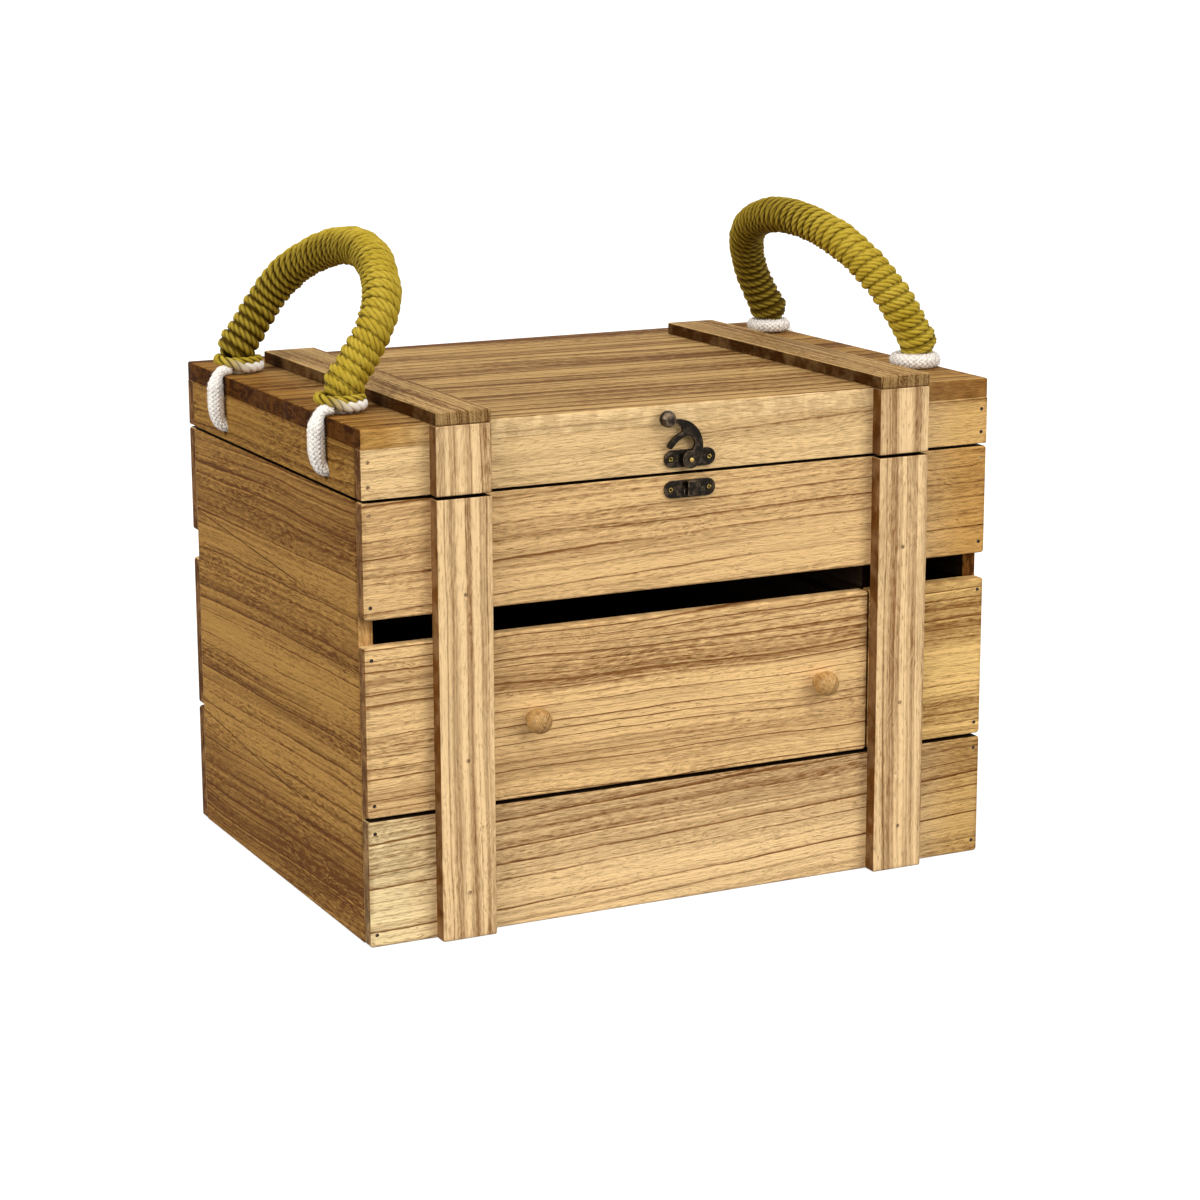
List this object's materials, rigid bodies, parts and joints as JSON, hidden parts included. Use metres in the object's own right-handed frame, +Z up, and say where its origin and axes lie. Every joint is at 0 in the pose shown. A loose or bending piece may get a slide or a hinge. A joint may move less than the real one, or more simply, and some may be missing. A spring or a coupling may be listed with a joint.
{
  "type": "slatted wooden chest with drawer",
  "caption": "Slatted wooden storage chest with a hinged lid, a swing-hook clasp, a small front drawer with turned knobs and cord-wrapped rope handles.",
  "frame": {"origin": "on the underside of the bottom panel, in the middle of the case boards (battens not counted)", "axes": "+X to the chest's right seen from the front, +Y to the back, +Z up"},
  "size_m": [0.4206, 0.3071, 0.3895],
  "materials": {
    "planed_board": "oiled, open brown grain",
    "stained_board": "dark stain",
    "inner_plywood": "dark stain",
    "turned_knob": "smooth, clear lacquer",
    "clasp_bronze": "antique bronze, near black",
    "clasp_brass": "worn bright",
    "hinge_bronze": "antique bronze",
    "nail_steel": "dull",
    "zinc_steel": "zinc",
    "cotton_rope": "braided cotton",
    "twisted_cord": "twisted olive cord, closely wound"
  },
  "bodies": {
    "case": {"side_panel_left": "planed_board", "side_panel_right": "planed_board", "front_slat_upper": "planed_board", "front_slat_lower": "planed_board", "front_stub_left": "planed_board", "front_stub_right": "planed_board", "back_slat_upper": "planed_board", "back_slat_middle": "planed_board", "back_slat_lower": "planed_board", "bottom_panel": "inner_plywood", "drawer_deck": "inner_plywood", "shelf_panel": "inner_plywood", "drawer_guide_left": "stained_board", "drawer_guide_right": "stained_board", "deck_cleat_left": "stained_board", "deck_cleat_right": "stained_board", "front_batten_left": "planed_board", "front_batten_right": "planed_board", "case_nails": "nail_steel", "catch_plate": "clasp_bronze", "catch_screws": "clasp_brass", "hinge_leaf_case_left": "hinge_bronze", "hinge_leaf_case_right": "hinge_bronze", "hinge_pin_left": "hinge_bronze", "hinge_pin_right": "hinge_bronze", "hinge_screws_case": "hinge_bronze"},
    "lid": {"lid_top_board": "planed_board", "lid_apron_front": "planed_board", "lid_apron_back": "planed_board", "lid_apron_left": "planed_board", "lid_apron_right": "planed_board", "lid_batten_top_left": "planed_board", "lid_batten_top_right": "planed_board", "lid_batten_front_left": "planed_board", "lid_batten_front_right": "planed_board", "lid_nails": "nail_steel", "latch_plate": "clasp_bronze", "latch_screws": "clasp_brass", "latch_pivot": "clasp_brass", "hinge_leaf_lid_left": "hinge_bronze", "hinge_leaf_lid_right": "hinge_bronze", "hinge_screws_lid": "hinge_bronze", "rope_end_left_front": "cotton_rope", "rope_end_left_back": "cotton_rope", "rope_end_right_front": "cotton_rope", "rope_end_right_back": "cotton_rope"},
    "hook": {"latch_hook": "clasp_bronze"},
    "left_handle": {"grip_left": "twisted_cord", "rope_core_left": "cotton_rope"},
    "right_handle": {"grip_right": "twisted_cord", "rope_core_right": "cotton_rope"},
    "drawer": {"drawer_front": "planed_board", "drawer_side_left": "stained_board", "drawer_side_right": "stained_board", "drawer_back": "stained_board", "drawer_bottom": "inner_plywood", "knob_left": "turned_knob", "knob_right": "turned_knob", "knob_screws": "zinc_steel"}
  },
  "joints": [
    {"name": "lid_hinge", "type": "hinge", "parent": "case", "child": "lid", "pos_m": [0, 0.1454, 0.25275], "axis": [-1, 0, 0], "range_deg": [0, 100]},
    {"name": "hook_swing", "type": "hinge", "parent": "lid", "child": "hook", "pos_m": [-0.0015, -0.1452, 0.2607], "axis": [0, -1, 0], "range_deg": [0, 153]},
    {"name": "drawer_slide", "type": "slide", "parent": "case", "child": "drawer", "axis": [0, -1, 0], "range_m": [0, 0.19]},
    {"name": "left_handle_tip", "type": "hinge", "parent": "lid", "child": "left_handle", "pos_m": [-0.1865, 0.00215, 0.31072], "axis": [0, 1, 0], "range_deg": [-89, 20]},
    {"name": "right_handle_tip", "type": "hinge", "parent": "lid", "child": "right_handle", "pos_m": [0.185, 0.00485, 0.31072], "axis": [0, -1, 0], "range_deg": [-84, 24]}
  ]
}
